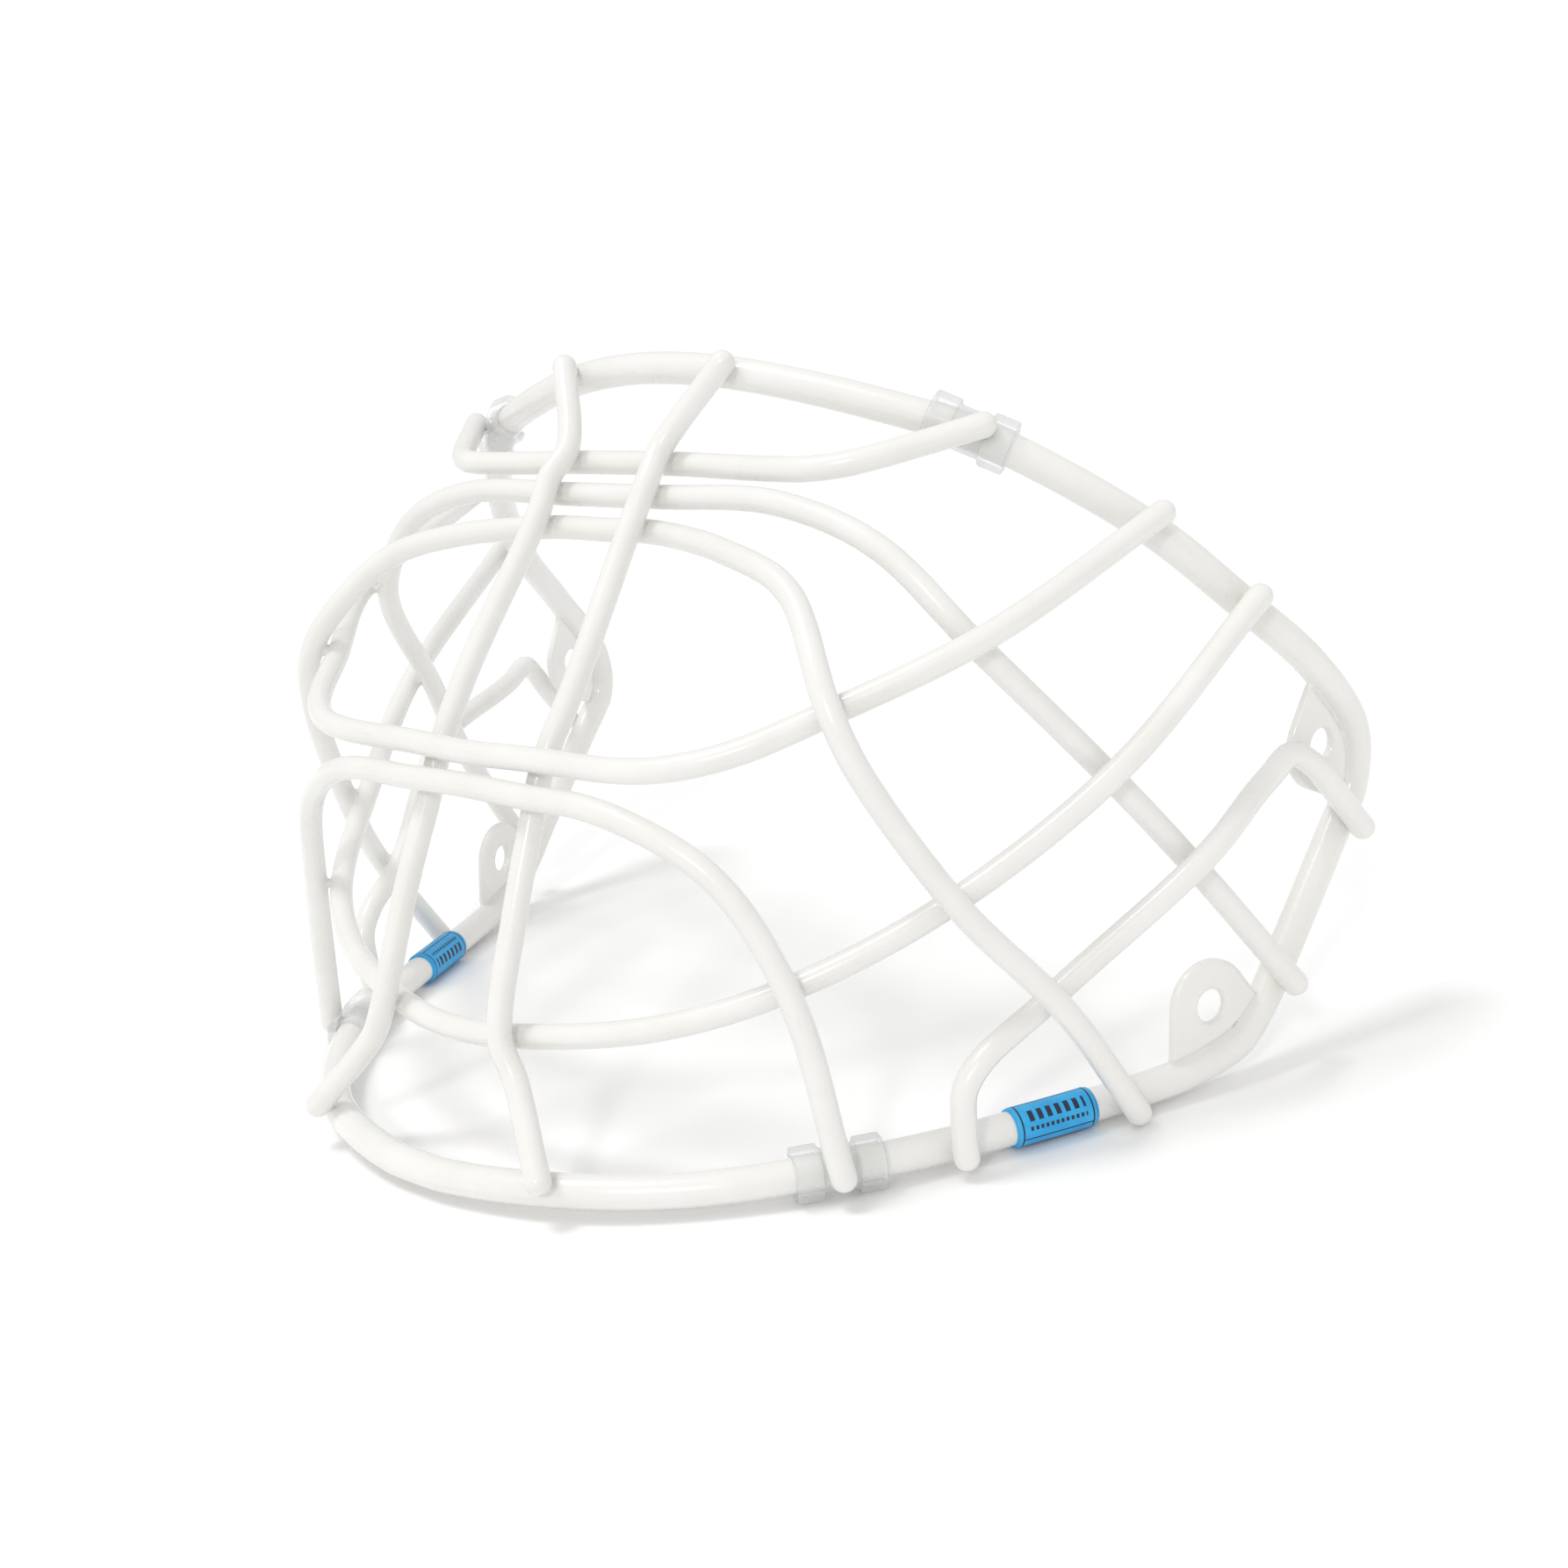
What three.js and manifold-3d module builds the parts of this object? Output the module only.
// Wire face cage of an ice hockey goalkeeper's mask.
//
// One heavy rim wire follows the opening of the mask. Lighter bars cross it outside and are welded
// to it and to each other. Four drilled tabs inside the rim's corners take the mounting screws.
// Clear sleeves clip on to the rim round four bar ends, and two printed bands wrap the chin stretch.
//
// Lengths are millimetres. The net is drawn upright, as the mask is worn: +X is the wearer's left,
// -Y is the way the face looks, +Z is up. The finished cage is then tipped back until it stands on
// its chin sleeves and printed bands, with the bottom middle of its bounding box at the origin.
import * as THREE from "three";
import { mergeVertices } from "three/addons/utils/BufferGeometryUtils.js";
import Module from "manifold-3d";

// ---- Driving dimensions ----
const CAGE_WIDTH = 219; // across the rim at the temples, centre to centre
const CAGE_HEIGHT = 158; // top of the rim to the chin, centre to centre
const CAGE_DEPTH = 128; // rearmost rim to the chin, centre to centre
const RIM_DIAMETER = 6.6;
const BEAD_DIAMETER = 6.8; // butt weld that closes the rim under the chin
const BEAD_LENGTH = 3;
const BAR_DIAMETER = 5;
const WELD_GAP = 0.4; // left between welded wires

const TAB_THICKNESS = 2;
const TAB_HOLE_DIAMETER = 6.4;
const TAB_EYE_RADIUS = 9; // round part of the tab, about its hole
const TAB_GAP = 0.5; // between a tab's welded edge and the rim

const SLEEVE_LENGTH = 16.5;
const SLEEVE_BAND_LENGTH = 5;
const SLEEVE_BAND_WALL = 1.5;
const SLEEVE_WEB_WALL = 0.9;
const SLEEVE_CLEARANCE = 0.5; // to the rim, and to the bar in its window
const SLEEVE_MOUTH = 4.6; // width of the slot that slips over the rim

const PRINT_LENGTH = 17;
const PRINT_PLACE = 0.56; // share of the way from the cheek bar's end to the upper eye bar's end
const PRINT_THICKNESS = 0.4;
const PRINT_CLEARANCE = 0.3;

// ---- Fineness of the solids ----
const WIRE_SIDES = 8;
const BORE_SIDES = 12;
const BAR_STEP = 7;
const RIM_STEP = 5;
const BORE_STEP = 4;
const END_RINGS = 5;
const ARC_POINTS = 10;
const SETTLING_ROUNDS = 3;

// ---- The net ----
// Each station is [x, y, z] on the wearer's left, drawn for the sizes below and stretched to the
// driving dimensions. Where two wires cross, the station is the centre of the inner one.
const DRAWN_WIDTH = 219;
const DRAWN_HEIGHT = 158;
const DRAWN_DEPTH = 128;
const STATIONS = {
  rim_top: [0, -113, 77],
  rim_centre_bar_top: [21, -111, 76],
  rim_forehead: [47, -103, 72.5],
  rim_forehead_bar: [67.5, -93, 68],
  rim_lower_eye_bar: [91, -71, 56.5],
  rim_mouth_bar: [101.5, -53, 46.5],
  rim_temple_front: [107.9, -33, 37.4],
  rim_temple: [109.5, -17.5, 27.5],
  rim_temple_back: [109, -13.5, 18],
  rim_temple_low: [108.8, -14.5, 13],
  rim_cheek_bar_back: [108.6, -16.5, 8.5],
  rim_brow_bar: [107, -29.5, -23],
  rim_jaw_top: [106.5, -31.5, -28],
  rim_jaw_back: [105.3, -36, -35.5],
  rim_jaw: [101.5, -45, -42],
  rim_jaw_front: [99.5, -49.5, -44.3],
  rim_upper_eye_bar: [95.5, -58, -48],
  rim_cheek_bar: [81, -88, -59.5],
  rim_nose_bar: [70, -106, -66],
  rim_chin_side: [52, -124, -73.5],
  rim_centre_bar_bottom: [31, -136.5, -78],
  rim_bottom: [0, -142, -81],

  forehead_middle: [0, -116.2, 57.5],
  forehead_centre: [13, -115.8, 57.5],
  forehead_bend: [48.5, -116.5, 57],
  forehead_turn: [55, -113, 59],
  brow_middle: [0, -118.8, 50.5],
  brow_centre: [14, -118.8, 50.5],
  brow_side: [44, -119, 50],
  brow_corner: [66, -115.5, 43.5],
  brow_lower_eye: [83, -106, 29],
  brow_mouth: [95.5, -80, 11.2],
  brow_cheek: [104, -62, -2],
  upper_eye_middle: [0, -120.3, 43.5],
  upper_eye_centre: [14, -120.4, 43.5],
  upper_eye_side: [40, -126, 39.5],
  upper_eye_corner: [58, -128, 33],
  lower_upper_eye: [70, -126.5, 13],
  upper_eye_down: [78, -126, 4],
  mouth_upper_eye: [84, -102.5, -16],
  cheek_upper_eye: [93.5, -83, -31],
  lower_eye_middle: [0, -145.6, -3],
  lower_eye_centre: [15, -139.9, -3.4],
  lower_eye_side: [45, -144, -1.5],
  lower_eye_turn: [58, -138, 3],
  nose_middle: [0, -145.9, -9],
  nose_centre: [15, -140.3, -9.7],
  nose_side: [38, -144.5, -10],
  nose_turn: [58, -136, -18],
  mouth_nose: [65.3, -120, -35],
  mouth_middle: [0, -138, -54.5],
  mouth_centre: [16.5, -137, -53],
  mouth_side: [45, -130, -46],
  cheek_low: [87.5, -95, -47],
  cheek_high: [108.8, -46, 14],
  cheek_bend: [110.3, -38.5, 20.5],
  cheek_turn: [112.3, -33, 17.5],
  centre_nose: [15.5, -135.5, 13],
  centre_lip: [16, -142, -30],
  centre_chin: [21, -140.5, -60],
};

// The runs name the stations in order. A run that crosses the face starts at its middle and is
// mirrored. Where over() stands, the bar passes outside the wire that it crosses.
const over = (name) => ({ name, outside: true });
const RIM_RUN = Object.keys(STATIONS).filter((name) => name.startsWith("rim_"));
const CROSS_BARS = {
  forehead_bar: [
    "forehead_middle", "forehead_centre", "forehead_bend", "forehead_turn", over("rim_forehead_bar"),
  ],
  brow_bar: [
    "brow_middle", "brow_centre", "brow_side", "brow_corner", "brow_lower_eye", "brow_mouth",
    "brow_cheek", over("rim_brow_bar"),
  ],
  upper_eye_bar: [
    "upper_eye_middle", "upper_eye_centre", "upper_eye_side", "upper_eye_corner",
    over("lower_upper_eye"), "upper_eye_down", over("mouth_upper_eye"), over("cheek_upper_eye"),
    over("rim_upper_eye_bar"),
  ],
  lower_eye_bar: [
    "lower_eye_middle", over("lower_eye_centre"), "lower_eye_side", "lower_eye_turn",
    "lower_upper_eye", over("brow_lower_eye"), over("rim_lower_eye_bar"),
  ],
  nose_bar: [
    "nose_middle", over("nose_centre"), "nose_side", "nose_turn", over("mouth_nose"),
    over("rim_nose_bar"),
  ],
  mouth_bar: [
    "mouth_middle", "mouth_centre", "mouth_side", "mouth_nose", "mouth_upper_eye",
    over("brow_mouth"), over("rim_mouth_bar"),
  ],
};
const SIDE_BARS = {
  centre_bar: [
    over("rim_centre_bar_top"), over("forehead_centre"), over("brow_centre"),
    over("upper_eye_centre"), "centre_nose", "lower_eye_centre", "nose_centre", "centre_lip",
    over("mouth_centre"), "centre_chin", over("rim_centre_bar_bottom"),
  ],
  cheek_bar: [
    over("rim_cheek_bar"), "cheek_low", "cheek_upper_eye", over("brow_cheek"), "cheek_high",
    "cheek_bend", "cheek_turn", over("rim_cheek_bar_back"),
  ],
};
// A sleeve sits on the end of a bar, shifted along the rim away from its top.
const SLEEVES = {
  forehead_sleeve: { bar: "forehead_bar", shift: -3 },
  chin_sleeve: { bar: "nose_bar", shift: 0 },
};
// A tab's corner names where its welded edge starts, bends and stops. Its eye is placed along and
// away from the rim, and it leans outwards from the plane of the corner by some degrees.
const TABS = {
  temple_tab: {
    corner: ["rim_temple_front", "rim_temple", "rim_temple_low"],
    eye: [-2, 10],
    lean: 0,
  },
  jaw_tab: {
    corner: ["rim_jaw_top", "rim_jaw_back", "rim_jaw_front"],
    eye: [2.5, 10.5],
    lean: 16,
  },
};
const PRINTED_BETWEEN = ["rim_cheek_bar", "rim_upper_eye_bar"];

const wasm = await Module();
wasm.setup();

// ---- Materials ----
const coated = new THREE.MeshStandardMaterial({ color: 0xf1efe9, roughness: 0.32, metalness: 0 });
const clear = new THREE.MeshStandardMaterial({
  color: 0xe9eef0,
  roughness: 0.15,
  metalness: 0,
  transparent: true,
  opacity: 0.45,
});
const printed = new THREE.MeshStandardMaterial({ color: 0x2f97e0, roughness: 0.4, metalness: 0 });

// ---- Solids ----
function solidOf(geometry) {
  geometry.deleteAttribute("normal");
  geometry.deleteAttribute("uv");
  const merged = mergeVertices(geometry, 1e-4);
  return new wasm.Manifold(
    new wasm.Mesh({
      numProp: 3,
      vertProperties: merged.getAttribute("position").array,
      triVerts: new Uint32Array(merged.index.array),
    }),
  );
}

function geometryOf(solid) {
  const mesh = solid.getMesh();
  const geometry = new THREE.BufferGeometry();
  geometry.setAttribute("position", new THREE.BufferAttribute(mesh.vertProperties, 3));
  geometry.setIndex(new THREE.BufferAttribute(mesh.triVerts, 1));
  return geometry;
}

// Cutting can leave loose slivers, which go with the offcuts.
function mainBody(solid) {
  return solid.decompose().reduce((most, body) => (body.volume() > most.volume() ? body : most));
}

function polygon(radius, sides) {
  const corner = (_, i) => {
    const angle = (2 * Math.PI * (i + 0.5)) / sides;
    return new THREE.Vector2(radius * Math.cos(angle), radius * Math.sin(angle));
  };
  return new THREE.Shape(Array.from({ length: sides }, corner));
}

function sweep(curve, radius, sides, step) {
  const steps = Math.ceil(curve.getLength() / step);
  return new THREE.ExtrudeGeometry(polygon(radius, sides), { steps, extrudePath: curve });
}

// ---- Laying out the net ----
const stretch = new THREE.Vector3(
  CAGE_WIDTH / DRAWN_WIDTH,
  CAGE_DEPTH / DRAWN_DEPTH,
  CAGE_HEIGHT / DRAWN_HEIGHT,
);
const MIRROR = new THREE.Vector3(-1, 1, 1);
const mirrored = (points) => points.map((point) => point.clone().multiply(MIRROR)).reverse();
const HEAD_CENTRE = new THREE.Vector3(0, -45, 0).multiply(stretch);
const station = (name) => new THREE.Vector3(...STATIONS[name]).multiply(stretch);
const nameOf = (stop) => stop.name ?? stop;

const rimHalf = RIM_RUN.map(station);
const rimPoints = [...rimHalf, ...mirrored(rimHalf.slice(1, -1))];
const rimLoop = new THREE.CatmullRomCurve3(rimPoints, true, "centripetal");
const rimLength = rimLoop.getLength();

// Share of the rim's length, from its top, at which it passes a station on the wearer's left.
function rimShare(name) {
  const target = station(name);
  const tries = Math.ceil(rimLength);
  const shares = Array.from({ length: tries }, (_, i) => (0.5 * i) / tries);
  const distance = (share) => rimLoop.getPointAt(share).distanceTo(target);
  return shares.reduce((best, share) => (distance(share) < distance(best) ? share : best));
}

// Part of the rim, from one share of its length to another.
class RimPart extends THREE.Curve {
  constructor(from, to) {
    super();
    this.from = from;
    this.to = to;
  }

  getPoint(t, target) {
    const share = THREE.MathUtils.lerp(this.from, this.to, t);
    return rimLoop.getPointAt(THREE.MathUtils.euclideanModulo(share, 1), target);
  }
}

function barCurve(name, points) {
  const all = name in CROSS_BARS ? [...mirrored(points.slice(1)), ...points] : points;
  return new THREE.CatmullRomCurve3(all, false, "centripetal");
}

// Direction of a bar where it passes a point.
function directionAt(curve, point) {
  const i = curve.points.findIndex((each) => each.distanceTo(point) < 1e-6);
  return curve.getTangent(i / (curve.points.length - 1));
}

// Outward direction where two wires cross: square to both of them, and away from the head.
function outward(point, first, second) {
  const normal = first.clone().cross(second).normalize();
  const away = point.clone().sub(HEAD_CENTRE);
  return normal.dot(away) < 0 ? normal.negate() : normal;
}

// Each wire starts through its bare stations. Moving a bar outside the ones it crosses turns it a
// little, so the crossings are settled in a few rounds.
const runs = { ...CROSS_BARS, ...SIDE_BARS };
const bars = {};
const crossings = {};
for (const name in runs) {
  const points = runs[name].map((stop) => station(nameOf(stop)));
  bars[name] = { points, curve: barCurve(name, points) };
}

function directionsThrough(stationName) {
  const directions = [];
  if (stationName.startsWith("rim_")) directions.push(rimLoop.getTangentAt(rimShare(stationName)));
  for (const name in runs) {
    const i = runs[name].map(nameOf).indexOf(stationName);
    if (i >= 0) directions.push(directionAt(bars[name].curve, bars[name].points[i]));
  }
  return directions;
}

for (let round = 0; round < SETTLING_ROUNDS; round++) {
  const settled = {};
  for (const name in runs) {
    const points = runs[name].map((stop) => {
      const point = station(nameOf(stop));
      if (!stop.outside) return point;
      const out = outward(point, ...directionsThrough(stop.name));
      crossings[stop.name] = out;
      const innerDiameter = stop.name.startsWith("rim_") ? RIM_DIAMETER : BAR_DIAMETER;
      return point.addScaledVector(out, (innerDiameter + BAR_DIAMETER) / 2 + WELD_GAP);
    });
    settled[name] = { points, curve: barCurve(name, points) };
  }
  Object.assign(bars, settled);
}

// ---- Wires ----
const SUNK = 0.15; // a round end starts this far inside its bar

function barSolid(curve, radius = BAR_DIAMETER / 2) {
  const bar = solidOf(sweep(curve, radius, WIRE_SIDES, BAR_STEP));
  const ends = [0, 1].map((t) => {
    const inwards = curve.getTangentAt(t).multiplyScalar(t ? -SUNK : SUNK);
    const ball = new THREE.SphereGeometry(radius - SUNK / 2, WIRE_SIDES, END_RINGS);
    return solidOf(ball.translate(...curve.getPointAt(t).add(inwards)));
  });
  return bar.add(ends[0]).add(ends[1]);
}

// The rim is one wire bent round and closed by a butt weld at the chin.
const BUTT_GAP = 0.4; // between the wire's two ends, filled by the weld's bead

function rimSolid() {
  const opening = BUTT_GAP / 2 / rimLength;
  const oneTurn = new RimPart(0.5 + opening, 1.5 - opening);
  const wire = sweep(oneTurn, RIM_DIAMETER / 2, WIRE_SIDES, RIM_STEP);
  const beadRadius = BEAD_DIAMETER / 2;
  const bead = new THREE.CylinderGeometry(beadRadius, beadRadius, BEAD_LENGTH, BORE_SIDES);
  bead.rotateZ(Math.PI / 2).translate(...rimLoop.getPointAt(0.5));
  return solidOf(wire).add(solidOf(bead));
}

// ---- Sleeves: C-shaped clips with a thicker band at each end and a window for the bar's end ----
function sleeveSolid({ bar, shift }) {
  const share = rimShare(`rim_${bar}`) + shift / rimLength;
  const along = rimLoop.getTangentAt(share);
  const across = crossings[`rim_${bar}`].clone().cross(along).normalize();
  const out = along.clone().cross(across);
  const frame = new THREE.Matrix4().makeBasis(across, out, along);
  frame.setPosition(rimLoop.getPointAt(share));

  const boreRadius = RIM_DIAMETER / 2 + SLEEVE_CLEARANCE;
  const ring = (wall, from, length) => {
    const section = polygon(boreRadius + wall, WIRE_SIDES);
    const block = new THREE.ExtrudeGeometry(section, { depth: length, bevelEnabled: false });
    return solidOf(block.translate(0, 0, from).applyMatrix4(frame));
  };
  const start = -SLEEVE_LENGTH / 2;
  const lastBand = -start - SLEEVE_BAND_LENGTH;
  const mouth = new THREE.BoxGeometry(SLEEVE_MOUTH, 4 * boreRadius, 2 * SLEEVE_LENGTH);
  mouth.translate(0, -2 * boreRadius, 0).applyMatrix4(frame);
  const reach = SLEEVE_LENGTH / rimLength;
  const rimPart = new RimPart(share - reach, share + reach);
  const bore = sweep(rimPart, boreRadius, BORE_SIDES, BORE_STEP);
  const clip = ring(SLEEVE_WEB_WALL, start, SLEEVE_LENGTH)
    .add(ring(SLEEVE_BAND_WALL, start, SLEEVE_BAND_LENGTH))
    .add(ring(SLEEVE_BAND_WALL, lastBand, SLEEVE_BAND_LENGTH))
    .subtract(solidOf(bore))
    .subtract(barSolid(bars[bar].curve, BAR_DIAMETER / 2 + SLEEVE_CLEARANCE))
    .subtract(solidOf(mouth));
  return mainBody(clip);
}

// ---- Tabs: flat plates that fill a corner of the rim, each with a round eye for its screw ----
function tabSolid({ corner, eye, lean }) {
  const [start, apex, finish] = corner.map(station);
  const u = finish.clone().sub(start).normalize();
  const bulge = apex.clone().sub(start);
  const v = bulge.clone().addScaledVector(u, -bulge.dot(u)).normalize().negate();
  v.applyAxisAngle(u, -THREE.MathUtils.degToRad(lean));
  const w = new THREE.Vector3().crossVectors(u, v);
  const plane = new THREE.Matrix4().makeBasis(u, v, w).setPosition(apex);
  const toPlane = plane.clone().invert();

  // The plate reaches under the rim's centre line, and the rim's own room is then cut from it.
  const [from, to] = [corner[0], corner[2]].map(rimShare);
  const edge = Array.from({ length: ARC_POINTS + 1 }, (_, i) => {
    const share = THREE.MathUtils.lerp(from, to, i / ARC_POINTS);
    const { x, y } = rimLoop.getPointAt(share).applyMatrix4(toPlane);
    return new THREE.Vector2(x, y);
  });

  // Straight sides run from the ends of the welded edge to touch the eye.
  const centre = new THREE.Vector2(...eye);
  const touch = (point, turn) => {
    const ray = point.clone().sub(centre);
    return ray.angle() + turn * Math.acos(Math.min(1, TAB_EYE_RADIUS / ray.length()));
  };
  const outline = new THREE.Shape(edge);
  outline.absarc(...centre, TAB_EYE_RADIUS, touch(edge.at(-1), 1), touch(edge[0], -1), false);
  outline.holes.push(new THREE.Path().absarc(...centre, TAB_HOLE_DIAMETER / 2, 0, 2 * Math.PI));
  const plate = new THREE.ExtrudeGeometry(outline, {
    depth: TAB_THICKNESS,
    bevelEnabled: false,
    curveSegments: ARC_POINTS,
  });
  plate.translate(0, 0, -TAB_THICKNESS / 2).applyMatrix4(plane);
  const past = RIM_DIAMETER / rimLength;
  const rimPart = new RimPart(from - past, to + past);
  const room = sweep(rimPart, RIM_DIAMETER / 2 + TAB_GAP, BORE_SIDES, BORE_STEP);
  return mainBody(solidOf(plate).subtract(solidOf(room)));
}

// ---- Printed bands: thin sleeves wrapped on the rim between two bar ends ----
function printSolid() {
  const [from, to] = PRINTED_BETWEEN.map(rimShare);
  const middle = THREE.MathUtils.lerp(from, to, PRINT_PLACE);
  const reach = PRINT_LENGTH / 2 / rimLength;
  const part = new RimPart(middle - reach, middle + reach);
  const longer = new RimPart(middle - 2 * reach, middle + 2 * reach);
  const inner = RIM_DIAMETER / 2 + PRINT_CLEARANCE;
  const wrap = sweep(part, inner + PRINT_THICKNESS, BORE_SIDES, BORE_STEP);
  return solidOf(wrap).subtract(solidOf(sweep(longer, inner, BORE_SIDES, BORE_STEP)));
}

// ---- Assembly ----
const cage = new THREE.Group();

function addMesh(name, solid, material) {
  const mesh = new THREE.Mesh(geometryOf(solid), material);
  mesh.name = name;
  cage.add(mesh);
  return mesh;
}

function addPair(name, solid, material) {
  addMesh(`${name}_left`, solid, material);
  addMesh(`${name}_right`, solid, material).scale.x = -1;
}

addMesh("rim", rimSolid(), coated);
for (const name in CROSS_BARS) addMesh(name, barSolid(bars[name].curve), coated);
for (const name in SIDE_BARS) addPair(name, barSolid(bars[name].curve), coated);
for (const [name, tab] of Object.entries(TABS)) addPair(name, tabSolid(tab), coated);
for (const [name, sleeve] of Object.entries(SLEEVES)) addPair(name, sleeveSolid(sleeve), clear);
addPair("printed_band", printSolid(), printed);

// The cage stands on its chin sleeves and printed bands. It is tipped back until both stand level.
function lowestPoint(name, tilt) {
  const { array } = cage.getObjectByName(name).geometry.getAttribute("position");
  let lowest = Infinity;
  for (let i = 0; i < array.length; i += 3) {
    lowest = Math.min(lowest, array[i + 2] * Math.cos(tilt) - array[i + 1] * Math.sin(tilt));
  }
  return lowest;
}

const MOST_TILT = Math.PI / 4;
const HALVINGS = 24;
let [tooLittle, tooMuch] = [0, MOST_TILT];
for (let halving = 0; halving < HALVINGS; halving++) {
  const tilt = (tooLittle + tooMuch) / 2;
  const chinIsLower = lowestPoint("chin_sleeve_left", tilt) < lowestPoint("printed_band_left", tilt);
  if (chinIsLower) tooLittle = tilt;
  else tooMuch = tilt;
}
cage.rotation.x = -tooLittle;
const bounds = new THREE.Box3().setFromObject(cage, true);
const middle = bounds.getCenter(new THREE.Vector3());
cage.position.set(-middle.x, -middle.y, -bounds.min.z);

export default new THREE.Group().add(cage);
